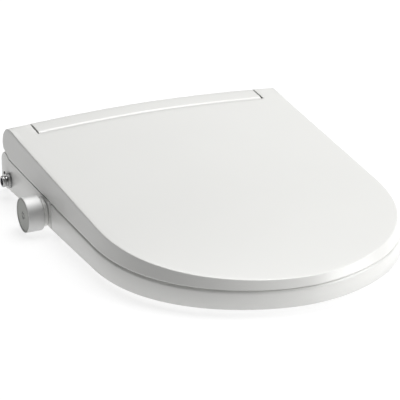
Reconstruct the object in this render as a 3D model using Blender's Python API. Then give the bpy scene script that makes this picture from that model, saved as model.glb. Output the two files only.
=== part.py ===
"""Electric bidet seat: housing with its works, mounting plate, seat ring, lid, knob and nozzle.

Metres, +Z up, the nose of the seat towards -Y, the hinges towards +Y, the knob on -X. The origin is on the
underside of the mounting plate, midway between its two bolt slots, which is the plane of the bowl's rim.
"""

import math

import bmesh
import bpy
from mathutils import Matrix, Vector

GAP = 0.0003  # between pieces that rest on each other
WALL = 0.003

# Plan of the lid and seat: straight sides that widen a little to the rear, and a superelliptic front.
NOSE_Y = -0.429
FRONT_RUN = 0.205
TANGENT_Y = NOSE_Y + FRONT_RUN
REAR_Y = 0.049
HALF_WIDTH = 0.190
REAR_HALF_WIDTH = 0.194
POWER_X = 1.83
POWER_Y = 2.42

# How finely the lid's and the seat's edge lines are divided.
SIDE_SHARES = (0.0, 0.02, 0.05, 0.09, 0.13, 0.20, 0.45, 0.72)
REAR_SHARES = (0.9, 0.6, 0.3, 0.0, -0.3, -0.6, -0.9)
FRONT_STEPS = 20
LID_LEVELS = (  # share of the skirt's height, extra inset, and the barrel's angle at the rear
    (0.00, 0.0, -62), (0.35, 0.0, -22), (0.70, 0.0, 14),
    (0.90, 0.0, 42), (0.97, 0.0003, 66), (1.00, 0.0012, 90),
)
LID_RINGS = (0.88, 0.60, 0.30)

# Side view.
BASE_Z = 0.0085
NOSE_GAP_Z = 0.031
NOSE_TOP_Z = 0.0408
TOP_SLOPE = 0.0962
CROWN = 0.008
PARTING = 0.0012  # half of the gap between the lid's rim and what is under it
DRAFT = 0.005  # how far the lid's skirt leans in at its top
EDGE_RADIUS = 0.0045

# Hinge.
HINGE_Y = 0.046
HINGE_Z = 0.0713
BARREL = 0.015
BARREL_LOW = -62  # angle at which the barrel ends below, in degrees
RIM_TURN_Y = 0.033  # where the lid's rim leaves the parting line and rises to the barrel's end
CRADLE_GAP = 0.0008
PIN_RADIUS = 0.005
PIN_BORE = 0.0053
KNUCKLE = 0.0105
DAMPER = 0.0075
ARM_X = (0.1605, 0.1725)
LID_ARM_X = (0.1745, 0.1888)

# Hinge cover, the strip between the lid's two ears.
STRIP_HALF = 0.157
NOTCH_HALF = 0.1592
STRIP_FRONT_Y = 0.019
NOTCH_Y = 0.0175
STRIP_ROUND = 0.006
STRIP_WALL = 0.0025
STRIP_FOOT_Z = 0.0512

# Housing.
HOUSING_FRONT_Y = -0.105
HOUSING_REAR_Y = 0.065
SHOULDER_Y = 0.048
SHOULDER_LOW_Z = 0.030
SHOULDER_RISE = 0.0262
BLOCK_HALF = 0.1545
BLOCK_FRONT_Y = -0.035
BLOCK_REAR_Y = 0.0570
SCREW_PLACES = ((-0.155, -0.055), (0.155, -0.055), (-0.1725, 0.050), (0.1725, 0.050))
POST_RADIUS = 0.0045
GLAND_X = 0.130
GLAND_Z = 0.030

# Seat ring.
OPENING_Y = -0.225
OPENING_HALF_X = 0.112
OPENING_HALF_Y = 0.135
OPENING_POWER = 2.3
OPENING_FACING_REAR = 0.0816  # makes the ring's sections square to its side at the seam
OPENING_FACING_FRONT = 0.205
SEAT_REAR_Y = -0.040
SEAT_REAR_HALF = 0.1795
SEAM_Y = -0.107
SEAM_STEP = 0.001
RISER_Y = -0.1205  # where the bottom cover steps up behind the skirt

# Knob, inlet and other side fittings.
KNOB_Y = -0.082
KNOB_Z = 0.0228
KNOB_FACE_X = -0.219
KNOB_RADIUS = 0.022
COLLAR_RADIUS = 0.018
SHAFT_RADIUS = 0.003
INLET_Y = 0.034
INLET_Z = 0.0225
INLET_RADIUS = 0.0075
INLET_BORE = 0.005
INLET_END_X = -0.2045
INLET_SCREW_Y = 0.0525
INLET_SCREW_Z = 0.026
BUTTON_Y = -0.060
BUTTON_Z = 0.0235

# Works inside the housing: low and high corners.
VALVE_LOW = (-0.170, 0.024, 0.0125)
VALVE_HIGH = (-0.140, 0.044, 0.0340)
TANK_LOW = (-0.120, -0.020, 0.0125)
TANK_HIGH = (-0.045, 0.030, 0.0440)

# Nozzle: its tip's place at rest, and its tilt below the horizontal.
NOZZLE_TIP = Vector((0.0, -0.083, 0.0205))
NOZZLE_TILT = math.radians(16)
WAND_RADIUS = 0.006
WAND_LENGTH = 0.118
MODULE = 0.001
PINION_TEETH = 12
PINION_S = 0.064  # how far behind the tip the pinion sits
RACK_TEETH = 17
PITCH_Z = 0.0035  # the rack's pitch line, in the wand's frame
RACK_X = (0.0066, 0.0106)
PINION_GAP = 0.00035

# Mounting plate.
SLOT_X = 0.0775
SLOT_HALF = 0.00325
SLOT_RUN = 0.012
PLATE_HALF_X = 0.100
PLATE_HALF_Y = 0.028
PLATE_Z = 0.0045


def clear_scene():
    for old in list(bpy.data.objects):
        bpy.data.objects.remove(old)


def material(name, color, roughness, metallic=0.0):
    made = bpy.data.materials.new(name)
    made.use_nodes = True
    shader = made.node_tree.nodes["Principled BSDF"]
    shader.inputs["Base Color"].default_value = (*color, 1.0)
    shader.inputs["Roughness"].default_value = roughness
    shader.inputs["Metallic"].default_value = metallic
    return made


# Shape helpers


def to_object(name, bm, finish, origin=(0.0, 0.0, 0.0)):
    """A scene object from world-space geometry, with its origin at the given point."""
    bmesh.ops.recalc_face_normals(bm, faces=bm.faces)
    bmesh.ops.translate(bm, verts=bm.verts, vec=-Vector(origin))
    mesh = bpy.data.meshes.new(name)
    bm.to_mesh(mesh)
    bm.free()
    if finish:
        mesh.materials.append(finish)
    mesh.shade_smooth()
    mesh.set_sharp_from_angle(angle=math.radians(35))
    made = bpy.data.objects.new(name, mesh)
    made.location = origin
    bpy.context.scene.collection.objects.link(made)
    return made


def skin(loops, closed=False):
    """Faces between one loop of points and the next; open ends are capped."""
    bm = bmesh.new()
    rows = [[bm.verts.new(point) for point in loop] for loop in loops]
    count = len(rows[0])
    pairs = list(zip(rows, rows[1:] + rows[:1])) if closed else list(zip(rows, rows[1:]))
    for low, high in pairs:
        for i in range(count):
            j = (i + 1) % count
            bm.faces.new((low[i], low[j], high[j], high[i]))
    if not closed:
        bm.faces.new(rows[0])
        bm.faces.new(rows[-1])
    return bm


def loft(name, loops, finish, closed=False, origin=(0.0, 0.0, 0.0)):
    return to_object(name, skin(loops, closed), finish, origin)


def turned(name, profile, start, direction, finish, segments=20, closed=False, origin=(0.0, 0.0, 0.0)):
    """A solid of revolution: the profile holds (distance along the axis, radius)."""
    axis = Vector(direction).normalized()
    side = axis.orthogonal().normalized()
    other = axis.cross(side)
    loops = []
    for along, radius in profile:
        centre = Vector(start) + axis * along
        turns = [2 * math.pi * i / segments for i in range(segments)]
        loops.append([centre + radius * (side * math.cos(t) + other * math.sin(t)) for t in turns])
    return loft(name, loops, finish, closed, origin)


def box(name, low, high, finish, bevel=0.0, origin=(0.0, 0.0, 0.0), place=None):
    bm = bmesh.new()
    low, high = Vector(low), Vector(high)
    sides = Matrix.Diagonal((*(high - low), 1.0))
    bmesh.ops.create_cube(bm, size=1.0, matrix=Matrix.Translation((low + high) / 2) @ sides)
    if bevel:
        bmesh.ops.bevel(bm, geom=bm.edges[:], offset=bevel, segments=2, profile=0.5, affect="EDGES")
    if place:
        bmesh.ops.transform(bm, verts=bm.verts, matrix=place)
    return to_object(name, bm, finish, origin)


def prism(name, outline, low, high, axis, finish, origin=(0.0, 0.0, 0.0), place=None):
    """An outline extruded along one axis; its points give the other two coordinates in X, Y, Z order."""
    def lift(point, level):
        values = list(point)
        values.insert("XYZ".index(axis), level)
        return Vector(values)

    bm = skin([[lift(point, level) for point in outline] for level in (low, high)])
    if place:
        bmesh.ops.transform(bm, verts=bm.verts, matrix=place)
    return to_object(name, bm, finish, origin)


def boolean(target, helper, operation):
    helper.hide_render = True
    helper.display_type = "WIRE"
    change = target.modifiers.new(helper.name, "BOOLEAN")
    change.operation = operation
    change.object = helper
    change.solver = "EXACT"


def cut(target, helper):
    boolean(target, helper, "DIFFERENCE")


def join(target, helper):
    boolean(target, helper, "UNION")


def hose(name, route, radius, finish):
    """A bent hose along a smooth curve through the route's points."""
    points = [Vector(point) for point in route]
    smooth = []
    for i in range(len(points) - 1):
        before = points[max(i - 1, 0)]
        after = points[min(i + 2, len(points) - 1)]
        here, there = points[i], points[i + 1]
        for step in range(3):
            t = step / 3
            smooth.append(0.5 * (
                2 * here
                + (there - before) * t
                + (2 * before - 5 * here + 4 * there - after) * t ** 2
                + (3 * here - before - 3 * there + after) * t ** 3
            ))
    smooth.append(points[-1])
    curve = bpy.data.curves.new(name, "CURVE")
    curve.dimensions = "3D"
    curve.bevel_depth = radius
    curve.bevel_resolution = 1
    curve.use_fill_caps = True
    spline = curve.splines.new("POLY")
    spline.points.add(len(smooth) - 1)
    for slot, point in zip(spline.points, smooth):
        slot.co = (*point, 1.0)
    curve.materials.append(finish)
    made = bpy.data.objects.new(name, curve)
    bpy.context.scene.collection.objects.link(made)
    return made


# The forms that several pieces share


def half_width(y):
    along = min(max(0.0, y - TANGENT_Y) / (REAR_Y - TANGENT_Y), 1.1)
    return HALF_WIDTH + (REAR_HALF_WIDTH - HALF_WIDTH) * along


def gap_z(y):
    """Height of the parting line under the lid's rim."""
    run = y - NOSE_Y
    return NOSE_GAP_Z + 0.0278 * run + 0.0316 * run ** 2


def lid_edge_z(y):
    return NOSE_TOP_Z + TOP_SLOPE * (y - NOSE_Y)


def lid_top_z(x, y):
    """The lid's crowned top: full height on the centre line, none at the edge."""
    across = (abs(x) / (half_width(y) - DRAFT)) ** POWER_X
    ahead = (max(0.0, TANGENT_Y - y) / (FRONT_RUN - DRAFT)) ** POWER_Y
    return lid_edge_z(y) + CROWN * max(0.0, 1 - across - ahead)


def front_curve(inset, count):
    """Plan points of the front, from the right tangent round the nose to the left one."""
    points = []
    for i in range(count + 1):
        turn = math.pi * i / count
        x = (HALF_WIDTH - inset) * abs(math.cos(turn)) ** (2 / POWER_X)
        y = TANGENT_Y - (FRONT_RUN - inset) * math.sin(turn) ** (2 / POWER_Y)
        points.append((math.copysign(x, math.cos(turn)), y))
    return points


def smooth_step(value):
    value = min(max(value, 0.0), 1.0)
    return value * value * (3 - 2 * value)


# Lid


def lid_rim_z(y):
    """Bottom of the lid's side wall: the parting line, then a straight rise to the barrel's lower end."""
    if y <= RIM_TURN_Y:
        return gap_z(y) + PARTING
    turn = math.radians(BARREL_LOW)
    end_y = HINGE_Y + BARREL * math.cos(turn)
    end_z = HINGE_Z + BARREL * math.sin(turn)
    start_z = gap_z(RIM_TURN_Y) + PARTING
    return start_z + (end_z - start_z) * (y - RIM_TURN_Y) / (end_y - RIM_TURN_Y)


def lid_loop(share, extra, angle, wall):
    """One level of the lid's wall, outside for wall 0 and inside for the wall's thickness."""
    radius = BARREL - wall
    turn = math.radians(angle)
    rear_y = HINGE_Y + radius * math.cos(turn)

    def rear_z(x):
        rise = radius if turn < 0 else lid_top_z(x, HINGE_Y) - wall - HINGE_Z
        return HINGE_Z + rise * math.sin(turn)

    def side_point(y, sign):
        low = lid_rim_z(y)
        z = low + share * (lid_edge_z(y) - wall - low)
        if share > 0:
            start = HINGE_Y - 0.036
            blend = smooth_step((y - start) / (rear_y - start))
            z += (rear_z(REAR_HALF_WIDTH - DRAFT) - z) * blend
        height = (z - gap_z(y)) / (lid_edge_z(y) - gap_z(y))
        x = half_width(y) - DRAFT * min(max(height, 0.0), 1.0) - extra - wall
        return Vector((sign * x, y, z))

    stations = [rear_y + (TANGENT_Y - rear_y) * part for part in SIDE_SHARES]
    right = [side_point(y, 1) for y in stations]
    left = [side_point(y, -1) for y in reversed(stations)]
    front = []
    for x, y in front_curve(DRAFT * share + extra + wall, FRONT_STEPS):
        low = gap_z(y) + PARTING
        front.append(Vector((x, y, low + share * (lid_edge_z(y) - wall - low))))
    corner = left[-1].x
    rear = [Vector((-corner * part, rear_y, rear_z(corner * part))) for part in REAR_SHARES[::-1]]
    return right + front + left + rear


def lid_ring(edge, scale, wall):
    centre = Vector((0.0, -0.19, 0.0))
    ring = []
    for point in edge:
        moved = centre + (point - centre) * scale
        ring.append(Vector((moved.x, moved.y, lid_top_z(moved.x, moved.y) - wall)))
    return ring


def make_lid(finish, hinge):
    outside = [lid_loop(*level, 0.0) for level in LID_LEVELS]
    inside = [lid_loop(*level, WALL) for level in LID_LEVELS]
    top = [lid_ring(outside[-1], scale, 0.0) for scale in LID_RINGS]
    under = [lid_ring(inside[-1], scale, WALL) for scale in LID_RINGS[:2]]
    bm = bmesh.new()
    rows = [[bm.verts.new(point) for point in loop] for loop in under[::-1] + inside[::-1] + outside + top]
    for low, high in zip(rows, rows[1:]):
        for i in range(len(low)):
            j = (i + 1) % len(low)
            bm.faces.new((low[i], low[j], high[j], high[i]))
    bm.faces.new(rows[0])
    bm.faces.new(rows[-1])
    lid = to_object("lid", bm, finish, hinge)
    cut(lid, box("lid_notch_cutter", (-NOTCH_HALF, NOTCH_Y, 0.03), (NOTCH_HALF, 0.08, 0.12), None))
    for side, sign in (("left", -1), ("right", 1)):
        inner, outer = LID_ARM_X
        along = (sign, 0, 0)
        start = (sign * inner, HINGE_Y, HINGE_Z)
        knuckle = turned(f"lid_knuckle_{side}", [(0, KNUCKLE), (outer - inner, KNUCKLE)], start, along, None)
        join(lid, knuckle)
        depth = outer - inner - WALL
        bore = turned(f"lid_bore_{side}", [(-0.004, PIN_BORE), (depth, PIN_BORE)], start, along, None)
        cut(lid, bore)
    return lid


def make_lid_bumpers(finish, hinge):
    for side, sign in (("left", -1), ("right", 1)):
        x, y = sign * 0.060, -0.385
        low = seat_crest_z(y) + 0.0012
        high = lid_top_z(x + sign * 0.006, y - 0.006) - WALL - 0.0008
        height = high - low
        profile = [(0, 0.0042), (0.001, 0.0052), (height, 0.0060)]
        turned(f"lid_bumper_{side}", profile, (x, y, low), (0, 0, 1), finish, 20, origin=hinge)


# Seat ring


def seat_outline(step_y=SEAM_Y):
    """Plan points of the seat's outer edge; behind the step it is narrower, to fit inside the lid."""
    half = SEAT_REAR_HALF
    corner = [
        (half - 0.012, SEAT_REAR_Y), (half - 0.0035, SEAT_REAR_Y - 0.0035), (half, SEAT_REAR_Y - 0.012),
    ]
    stations = (-0.070, SEAM_Y + SEAM_STEP, SEAM_Y, -0.112, -0.119, -0.123, -0.16, -0.195)
    sides = corner + [(half if y > step_y else half_width(y), y) for y in stations]
    rear = [(-half * part, SEAT_REAR_Y) for part in REAR_SHARES]
    left = [(-x, y) for x, y in reversed(sides)]
    return sides + front_curve(0.0, FRONT_STEPS) + left + rear


def opening_point(x, y):
    """The point of the opening's edge that faces a point of the outer edge."""
    depth = OPENING_FACING_REAR if y > OPENING_Y else OPENING_FACING_FRONT
    turn = math.atan2((y - OPENING_Y) / depth, x / HALF_WIDTH)
    across = abs(math.cos(turn)) ** (2 / OPENING_POWER)
    along = abs(math.sin(turn)) ** (2 / OPENING_POWER)
    place_x = math.copysign(OPENING_HALF_X * across, math.cos(turn))
    return Vector((place_x, OPENING_Y + math.copysign(OPENING_HALF_Y * along, math.sin(turn))))


def seat_crest_z(y):
    return gap_z(y) + 0.004 + 0.006 * smooth_step((y + 0.185) / 0.060)


def seat_edge_z(y, behind):
    return seat_crest_z(y) - 0.002 if behind else gap_z(y) - PARTING


def seat_skirt_z(y, behind):
    return gap_z(y) + 0.002 if behind else 0.008


def seat_loop(offset, from_inside, height, split_y=SEAM_Y, step_y=SEAM_Y):
    """One line round the ring, offset from its outer edge or from the opening's edge.

    height is a function of the point's y and of whether its section lies behind the split.
    """
    points = []
    for x, y in seat_outline(step_y):
        behind = y > split_y + SEAM_STEP / 2
        outer = Vector((x, y))
        inner = opening_point(x, y)
        along = (inner - outer).normalized()
        away = offset[behind] if isinstance(offset, tuple) else offset
        place = inner - along * away if from_inside else outer + along * away
        points.append(Vector((place.x, place.y, height(place.y, behind))))
    return points


def make_seat_top(finish, hinge):
    def below_crest(drop):
        return lambda y, behind: seat_crest_z(y) - drop

    def below_edge(drop, least):
        return lambda y, behind: max(seat_edge_z(y, behind) - drop, seat_skirt_z(y, behind) + least)

    loops = [
        seat_loop(0.0, False, seat_skirt_z),
        seat_loop(0.0, False, below_edge(EDGE_RADIUS, 0.0010)),
        seat_loop(0.0013, False, below_edge(0.0013, 0.0010)),
        seat_loop(EDGE_RADIUS, False, seat_edge_z),
        seat_loop(0.016, False, below_crest(0.0)),
        seat_loop(0.020, True, below_crest(0.0005)),
        seat_loop(0.006, True, below_crest(0.0025)),
        seat_loop(0.0, True, below_crest(0.0070)),
        seat_loop(0.0, True, seat_skirt_z),
        seat_loop(WALL, True, seat_skirt_z),
        seat_loop(WALL, True, below_crest(0.0075)),
        seat_loop(0.008, True, below_crest(0.0052)),
        seat_loop(0.020, True, below_crest(0.0035)),
        seat_loop(0.017, False, below_crest(WALL)),
        seat_loop(0.0065, False, below_edge(WALL, 0.0012)),
        seat_loop(WALL, False, below_edge(0.0058, 0.0008)),
        seat_loop(WALL, False, seat_skirt_z),
    ]
    seat = loft("seat_ring_top", loops, finish, True, hinge)
    for side, sign in (("left", -1), ("right", 1)):
        low, high = sorted(sign * x for x in ARM_X)
        root_y = SEAT_REAR_Y - 0.022
        bottom = gap_z(root_y) + 0.0062
        top = seat_crest_z(root_y) - 0.0008
        outline = [
            (root_y, bottom), (SEAT_REAR_Y - 0.0005, gap_z(SEAT_REAR_Y) + 0.0058),
            (SEAT_REAR_Y + 0.006, gap_z(SEAT_REAR_Y) + 0.0050), (HINGE_Y - 0.015, HINGE_Z - 0.0038),
        ]
        for step in range(17):
            turn = math.radians(-170 + 290 * step / 16)
            outline.append((HINGE_Y + KNUCKLE * math.cos(turn), HINGE_Z + KNUCKLE * math.sin(turn)))
        outline.append((root_y, top))
        join(seat, prism(f"seat_arm_{side}", outline, low, high, "X", None))
        start = (low - 0.002, HINGE_Y, HINGE_Z)
        profile = [(0, PIN_BORE), (high - low + 0.004, PIN_BORE)]
        cut(seat, turned(f"seat_arm_bore_{side}", profile, start, (1, 0, 0), None))
    return seat


def make_seat_bottom(finish, hinge):
    """The bottom cover: low inside the skirt, and stepping up to pass over the housing's arms."""
    def lower(y, behind):
        return gap_z(y) + 0.0026 if behind else BASE_Z

    def upper(y, behind):
        return gap_z(y) + 0.0046 if behind else BASE_Z + 0.0025

    edge = (WALL + GAP, 0.0095)
    loops = [
        seat_loop(edge, False, lower, SEAM_Y, RISER_Y),
        seat_loop(edge, True, lower, SEAM_Y, RISER_Y),
        seat_loop(edge, True, upper, RISER_Y, RISER_Y),
        seat_loop(edge, False, upper, RISER_Y, RISER_Y),
    ]
    return loft("seat_ring_bottom", loops, finish, True, hinge)


def make_seat_heater(finish, hinge):
    loops = []
    for drop, inside in ((0.0048, (False, True)), (0.0042, (True, False))):
        for from_inside in inside:
            loops.append(seat_loop(0.026, from_inside, lambda y, behind, drop=drop: seat_crest_z(y) - drop))
    return loft("seat_heater", loops, finish, True, hinge)


def ring_middle(angle):
    """Plan point half-way across the ring's width at an angle about the opening's centre."""
    turn = math.radians(angle)
    facing = min(seat_outline(), key=lambda p: abs(math.atan2(p[1] - OPENING_Y, p[0]) - turn))
    return (opening_point(*facing) + Vector(facing)) / 2


def make_seat_bumpers(finish, hinge):
    for row, angle in (("front", -62), ("rear", 15)):
        for side, sign in (("left", -1), ("right", 1)):
            place = ring_middle(angle)
            start = (sign * place.x, place.y, 0.0)
            top = BASE_Z - GAP
            profile = [(0, 0.009), (0.0015, 0.0105), (top, 0.0115)]
            turned(f"seat_bumper_{row}_{side}", profile, start, (0, 0, 1), finish, 20, origin=hinge)


# Housing


def housing_top_z(y):
    """Top of the housing's sides: under the lid's rim as far as the barrel, then a rounded shoulder."""
    if y <= RIM_TURN_Y:
        return gap_z(y) - PARTING
    level = lid_rim_z(y) - CRADLE_GAP
    if y > SHOULDER_Y:
        share = min((y - SHOULDER_Y) / (HOUSING_REAR_Y - SHOULDER_Y), 1.0)
        level = min(level, SHOULDER_LOW_Z + SHOULDER_RISE * math.sqrt(1 - share ** 2))
    return level


def housing_stations():
    under_lid = [HOUSING_FRONT_Y, -0.060, -0.020, 0.010]
    under_lid += [RIM_TURN_Y - 0.0005, RIM_TURN_Y + 0.0012, 0.044, 0.0515]
    shoulder = [0.0528, 0.0545, 0.0565, 0.0585, 0.0605, 0.0625, 0.0640, HOUSING_REAR_Y]
    return under_lid + shoulder


def housing_half(y):
    """Half width, with the rear corners rounded in plan."""
    corner = 0.004
    start = HOUSING_REAR_Y - corner
    reach = min(max(0.0, y - start) / corner, 1.0)
    return half_width(y) - corner * (1 - math.sqrt(1 - reach ** 2))


def housing_blank(name, inset, low_z, top, finish, rounded=True):
    """Sections along the length, each with rounded upper corners. top is a function of y."""
    loops = []
    for y in housing_stations():
        half = housing_half(y) - inset
        place = min(max(y, HOUSING_FRONT_Y + inset), HOUSING_REAR_Y - inset)
        high = top(y)
        radius = EDGE_RADIUS if rounded else 0.0005
        corner = [
            (half, low_z), (half, high - radius), (half - 0.13 * radius, high - 0.5 * radius),
            (half - 0.5 * radius, high - 0.13 * radius), (half - radius, high),
        ]
        section = corner + [(-x, z) for x, z in reversed(corner)]
        loops.append([Vector((x, place, z)) for x, z in section])
    kept = [loops[0]]
    for loop in loops[1:]:
        if loop[0].y - kept[-1][0].y > 0.0004:
            kept.append(loop)
    return loft(name, kept, finish)


def front_cutter(name, grow):
    """The bay between the housing's two arms, in which the bowl's opening lies."""
    outline = [(-0.130 - grow, HOUSING_FRONT_Y - 0.02), (0.130 + grow, HOUSING_FRONT_Y - 0.02)]
    for sign in (1, -1):
        curve = []
        for step in range(7):
            turn = math.radians(90 * step / 6)
            x = 0.065 + (0.065 + grow) * math.cos(turn)
            y = HOUSING_FRONT_Y + (0.027 + grow) * math.sin(turn)
            curve.append((sign * x, y))
        outline += curve if sign == 1 else curve[::-1]
    return prism(name, outline, -0.01, 0.10, "Z", None)


def block_loft(name, inset, low_z):
    """The raised middle of the housing, between the lid's ears; its rear part fills the hinge cover."""
    strip_foot = 0.0225 + inset
    heights = [(BLOCK_FRONT_Y + inset, lid_edge_z(BLOCK_FRONT_Y) - 0.0125)]
    heights.append((BLOCK_FRONT_Y + inset + 0.004, lid_edge_z(BLOCK_FRONT_Y) - 0.0098))
    heights.append((strip_foot - 0.0004, lid_edge_z(0.020) - 0.0095))
    heights += [(strip_foot, 0.0815), (0.033, 0.0838), (0.046, 0.0838), (0.052, 0.0815)]
    heights.append((BLOCK_REAR_Y - inset, 0.0745))
    half = BLOCK_HALF - inset
    loops = []
    for y, high in heights:
        top = high - inset
        corner = [(half, low_z), (half, top - 0.003), (half - 0.0009, top - 0.0009), (half - 0.003, top)]
        section = corner + [(-x, z) for x, z in reversed(corner)]
        loops.append([Vector((x, y, z)) for x, z in section])
    return loft(name, loops, None)


def make_housing_cover(finish):
    cover = housing_blank("housing_cover", 0.0, BASE_Z, housing_top_z, finish)
    cut(cover, front_cutter("bay_cutter", 0.0))
    join(cover, block_loft("raised_middle", 0.0, 0.035))
    cavity = housing_blank("housing_cavity", WALL, 0.0, lambda y: housing_top_z(y) - WALL, None, False)
    cut(cavity, front_cutter("bay_wall_cutter", WALL))
    cut(cover, cavity)
    cut(cover, block_loft("middle_cavity", WALL, 0.030))
    for i, (x, y) in enumerate(SCREW_PLACES, 1):
        height = min(housing_top_z(y - POST_RADIUS), housing_top_z(y + POST_RADIUS)) - 0.0125 - 0.001
        profile = [(0, POST_RADIUS), (height, POST_RADIUS)]
        post = turned(f"screw_post_{i}", profile, (x, y, 0.0125), (0, 0, 1), None, 20)
        join(cover, post)
        profile = [(-0.001, 0.0018), (0.012, 0.0018)]
        bore = turned(f"screw_bore_{i}", profile, (x, y, 0.0125), (0, 0, 1), None, 16)
        cut(cover, bore)
    for side, sign in (("left", -1), ("right", 1)):
        start = (sign * (BLOCK_HALF - WALL - 0.002), HINGE_Y, HINGE_Z)
        profile = [(0, PIN_BORE), (WALL + 0.004, PIN_BORE)]
        hole = turned(f"pin_hole_{side}", profile, start, (sign, 0, 0), None)
        cut(cover, hole)
    wall_x = -half_width(KNOB_Y)
    start = (wall_x - 0.002, KNOB_Y, KNOB_Z)
    cut(cover, turned("knob_hole", [(0, 0.0045), (0.010, 0.0045)], start, (1, 0, 0), None, 24))
    start = (-half_width(INLET_Y) - 0.002, INLET_Y, INLET_Z)
    cut(cover, turned("inlet_hole", [(0, 0.0084), (0.010, 0.0084)], start, (1, 0, 0), None))
    start = (-half_width(INLET_SCREW_Y) - 0.001, INLET_SCREW_Y, INLET_SCREW_Z)
    cut(cover, turned("side_screw_hole", [(0, 0.0029), (0.0022, 0.0029)], start, (1, 0, 0), None, 20))
    cut(cover, box("button_hole", (0.180, BUTTON_Y - 0.0115, BUTTON_Z - 0.0065),
                   (0.200, BUTTON_Y + 0.0115, BUTTON_Z + 0.0065), None))
    start = (GLAND_X, HOUSING_REAR_Y + 0.002, GLAND_Z)
    cut(cover, turned("gland_hole", [(0, 0.0064), (0.010, 0.0064)], start, (0, -1, 0), None))
    port = NOZZLE_TIP + nozzle_axis() * -0.004
    cut(cover, turned("nozzle_port", [(-0.012, 0.0088), (0.012, 0.0088)], port, nozzle_axis(), None))
    return cover


def make_housing_base(finish):
    """The floor of the housing, inside the cover's walls."""
    edge = WALL + GAP
    base = housing_blank("housing_base", edge, BASE_Z, lambda y: BASE_Z + WALL, finish, False)
    cut(base, front_cutter("base_bay_cutter", edge))
    for i, (x, y) in enumerate(SCREW_PLACES, 1):
        profile = [(0, 0.0020), (0.01, 0.0020)]
        hole = turned(f"base_hole_{i}", profile, (x, y, BASE_Z - 0.003), (0, 0, 1), None, 16)
        cut(base, hole)
    return base


def make_hinge_cover(finish):
    """The strip between the lid's ears: crowned like the lid, round in front and behind."""
    def section(x):
        outer, inner = [], []
        for shrink, found in ((0.0, outer), (STRIP_WALL, inner)):
            front = STRIP_FRONT_Y + shrink
            round_y = STRIP_FRONT_Y + STRIP_ROUND
            round_z = lid_top_z(x, round_y) - STRIP_ROUND
            found.append((front, lid_top_z(x, round_y) - 0.0105))
            for angle in (180, 155, 130, 105):
                turn = math.radians(angle)
                reach = STRIP_ROUND - shrink
                found.append((round_y + reach * math.cos(turn), round_z + reach * math.sin(turn)))
            found.append((0.033, lid_top_z(x, 0.033) - shrink))
            rise = lid_top_z(x, HINGE_Y) - shrink - HINGE_Z
            for angle in (90, 70, 50, 30, 12, 0):
                turn = math.radians(angle)
                found.append((HINGE_Y + (BARREL - shrink) * math.cos(turn), HINGE_Z + rise * math.sin(turn)))
            found.append((HINGE_Y + BARREL - shrink, STRIP_FOOT_Z))
        return [Vector((x, y, z)) for y, z in outer + inner[::-1]]

    count = 10
    stations = [STRIP_HALF * (2 * i / count - 1) for i in range(count + 1)]
    return loft("hinge_cover", [section(x) for x in stations], finish)


def make_mounting_plate(finish):
    rail = BASE_Z - GAP
    outline = [
        (-PLATE_HALF_X, 0), (PLATE_HALF_X, 0), (PLATE_HALF_X, rail), (0.091, rail), (0.091, PLATE_Z),
        (0.020, PLATE_Z), (0.020, rail), (-0.020, rail), (-0.020, PLATE_Z), (-0.091, PLATE_Z), (-0.091, rail),
        (-PLATE_HALF_X, rail),
    ]
    plate = prism("mounting_plate", outline, -PLATE_HALF_Y, PLATE_HALF_Y, "Y", finish)
    for side, sign in (("left", -1), ("right", 1)):
        ends = []
        for step in range(9):
            turn = math.radians(180 * step / 8)
            ends.append((SLOT_HALF * math.cos(turn), SLOT_RUN + SLOT_HALF * math.sin(turn)))
        outline = [(sign * SLOT_X + x, y) for x, y in ends + [(-x, -y) for x, y in ends]]
        cut(plate, prism(f"slot_cutter_{side}", outline, -0.002, 0.010, "Z", None))
    return plate


def make_base_pads(finish):
    for side, sign in (("left", -1), ("right", 1)):
        start = (sign * 0.150, 0.045, 0.0)
        profile = [(0, 0.009), (0.001, 0.010), (BASE_Z - GAP, 0.010)]
        turned(f"base_pad_{side}", profile, start, (0, 0, 1), finish, 20)


def make_housing_screws(finish):
    for i, (x, y) in enumerate(SCREW_PLACES, 1):
        head = BASE_Z - GAP
        profile = [(0, 0.0024), (0.0008, 0.0035), (0.0024, 0.0035), (0.0024, 0.0015), (0.0140, 0.0015)]
        turned(f"housing_screw_{i}", profile, (x, y, head - 0.0024), (0, 0, 1), finish, 12)


# Hinge works


def make_hinge_works(steel, plastic):
    for side, sign, name in (("left", -1, "lid_damper"), ("right", 1, "seat_damper")):
        start = (sign * 0.1000, HINGE_Y, HINGE_Z)
        bore = PIN_RADIUS + GAP
        profile = [(0, 0.003), (0, DAMPER), (0.0505, DAMPER), (0.0505, bore), (0.030, bore), (0.030, 0.003)]
        turned(name, profile, start, (sign, 0, 0), plastic, closed=True)
        start = (sign * 0.1305, HINGE_Y, HINGE_Z)
        length = LID_ARM_X[1] - WALL - 0.0008 - 0.1305
        profile = [(0, PIN_RADIUS), (length - 0.001, PIN_RADIUS), (length, PIN_RADIUS - 0.001)]
        turned(f"hinge_pin_{side}", profile, start, (sign, 0, 0), steel)


# Water works


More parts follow.
